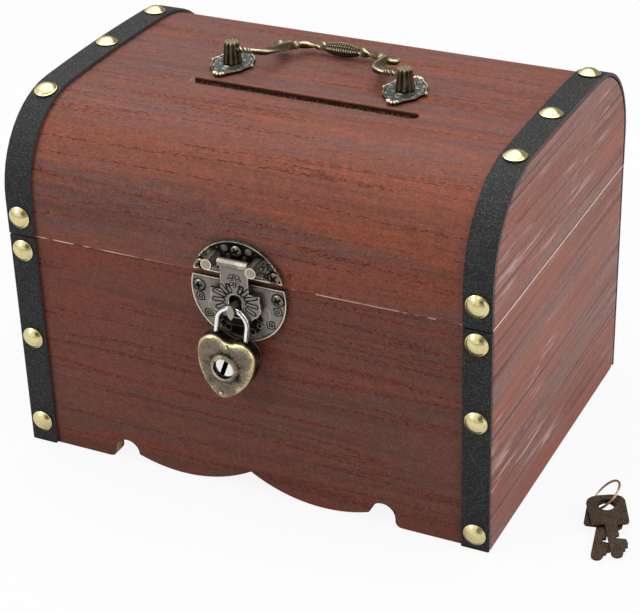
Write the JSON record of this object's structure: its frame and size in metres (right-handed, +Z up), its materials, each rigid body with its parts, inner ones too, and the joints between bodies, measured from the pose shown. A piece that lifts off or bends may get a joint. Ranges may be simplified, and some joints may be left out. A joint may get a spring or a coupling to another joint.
{
  "type": "treasure chest money box",
  "caption": "Wooden chest-shaped money box with a rounded hinged lid, coin slot, strapped ends, bail handle, round hasp and a heart padlock with keys.",
  "frame": {"origin": "centre of the bottom board's underside, 9.2 mm above the ground that the chest stands on", "axes": "+Z up, front with the hasp faces -Y, +X to the right seen from the front"},
  "size_m": [0.2225, 0.1434, 0.1403],
  "materials": {
    "stained_wood_front": "reddish brown stain, satin",
    "stained_wood_end": "greyish rose-brown stain, satin",
    "stained_wood_lid": "rose-brown stain, satin",
    "raw_wood": "unfinished",
    "black_leatherette": "fine grained imitation leather, satin",
    "bright_brass": "polished",
    "antique_pewter": "aged, worn pale on rims",
    "antique_bronze": "aged, worn pale on rims",
    "antique_brass": "aged, worn bright on edges",
    "bright_steel": "plain plated",
    "chrome": "polished",
    "speckled_bronze": "tumbled, speckled",
    "pale_brass": "polished"
  },
  "bodies": {
    "case": {"case_back": "stained_wood_front", "case_bottom": "raw_wood", "case_front": "stained_wood_front", "case_left": "stained_wood_end", "case_right": "stained_wood_end", "case_strap_back_left": "black_leatherette", "case_strap_back_right": "black_leatherette", "case_strap_front_left": "black_leatherette", "case_strap_front_right": "black_leatherette", "case_tack_back_left_1": "bright_brass", "case_tack_back_left_2": "bright_brass", "case_tack_back_left_3": "bright_brass", "case_tack_back_right_1": "bright_brass", "case_tack_back_right_2": "bright_brass", "case_tack_back_right_3": "bright_brass", "case_tack_front_left_1": "bright_brass", "case_tack_front_left_2": "bright_brass", "case_tack_front_left_3": "bright_brass", "case_tack_front_right_1": "bright_brass", "case_tack_front_right_2": "bright_brass", "case_tack_front_right_3": "bright_brass", "hasp_lower_plate": "antique_pewter", "hasp_screw_lower_1": "bright_steel", "hasp_screw_lower_2": "bright_steel", "hinge_left_case_leaf": "bright_steel", "hinge_left_pin": "bright_steel", "hinge_right_case_leaf": "bright_steel", "hinge_right_pin": "bright_steel", "key_1": "speckled_bronze", "key_2": "speckled_bronze", "key_ring": "pale_brass"},
    "lid": {"handle_standard_left": "antique_bronze", "handle_standard_right": "antique_bronze", "hasp_hinge_pin": "bright_steel", "hasp_screw_upper_1": "bright_steel", "hasp_screw_upper_2": "bright_steel", "hasp_screw_upper_3": "bright_steel", "hasp_upper_plate": "antique_pewter", "hinge_left_lid_leaf": "bright_steel", "hinge_right_lid_leaf": "bright_steel", "lid_end_left": "stained_wood_end", "lid_end_right": "stained_wood_end", "lid_shell": "stained_wood_lid", "lid_strap_left": "black_leatherette", "lid_strap_right": "black_leatherette", "lid_tack_left_1": "bright_brass", "lid_tack_left_2": "bright_brass", "lid_tack_left_3": "bright_brass", "lid_tack_left_4": "bright_brass", "lid_tack_left_5": "bright_brass", "lid_tack_right_1": "bright_brass", "lid_tack_right_2": "bright_brass", "lid_tack_right_3": "bright_brass", "lid_tack_right_4": "bright_brass", "lid_tack_right_5": "bright_brass"},
    "flap": {"hasp_flap": "antique_pewter"},
    "bail": {"handle_bail": "antique_bronze"},
    "shackle": {"padlock_shackle": "chrome"},
    "lock_body": {"padlock_body": "antique_brass"},
    "plug": {"padlock_plug": "chrome"}
  },
  "joints": [
    {"name": "lid_hinge", "type": "hinge", "parent": "case", "child": "lid", "pos_m": [0, 0.067, 0.0761], "axis": [-1, 0, 0], "range_deg": [0, 100]},
    {"name": "flap_hinge", "type": "hinge", "parent": "lid", "child": "flap", "pos_m": [0, -0.0692, 0.0837], "axis": [-1, 0, 0], "range_deg": [0, 160]},
    {"name": "bail_swing", "type": "hinge", "parent": "lid", "child": "bail", "pos_m": [0, -0.0004, 0.1287], "axis": [1, 0, 0], "range_deg": [0, 160]},
    {"name": "padlock_swing", "type": "hinge", "parent": "case", "child": "shackle", "pos_m": [0, -0.07055, 0.0673], "axis": [-1, 0, 0], "range_deg": [0, 80]},
    {"name": "padlock_unlock", "type": "slide", "parent": "shackle", "child": "lock_body", "axis": [-0.1478, 0, -0.989], "range_m": [0, 0.0045]},
    {"name": "plug_turn", "type": "hinge", "parent": "lock_body", "child": "plug", "pos_m": [-0.00327, -0.07385, 0.04544], "axis": [0, 1, 0], "range_deg": [0, 90]}
  ]
}
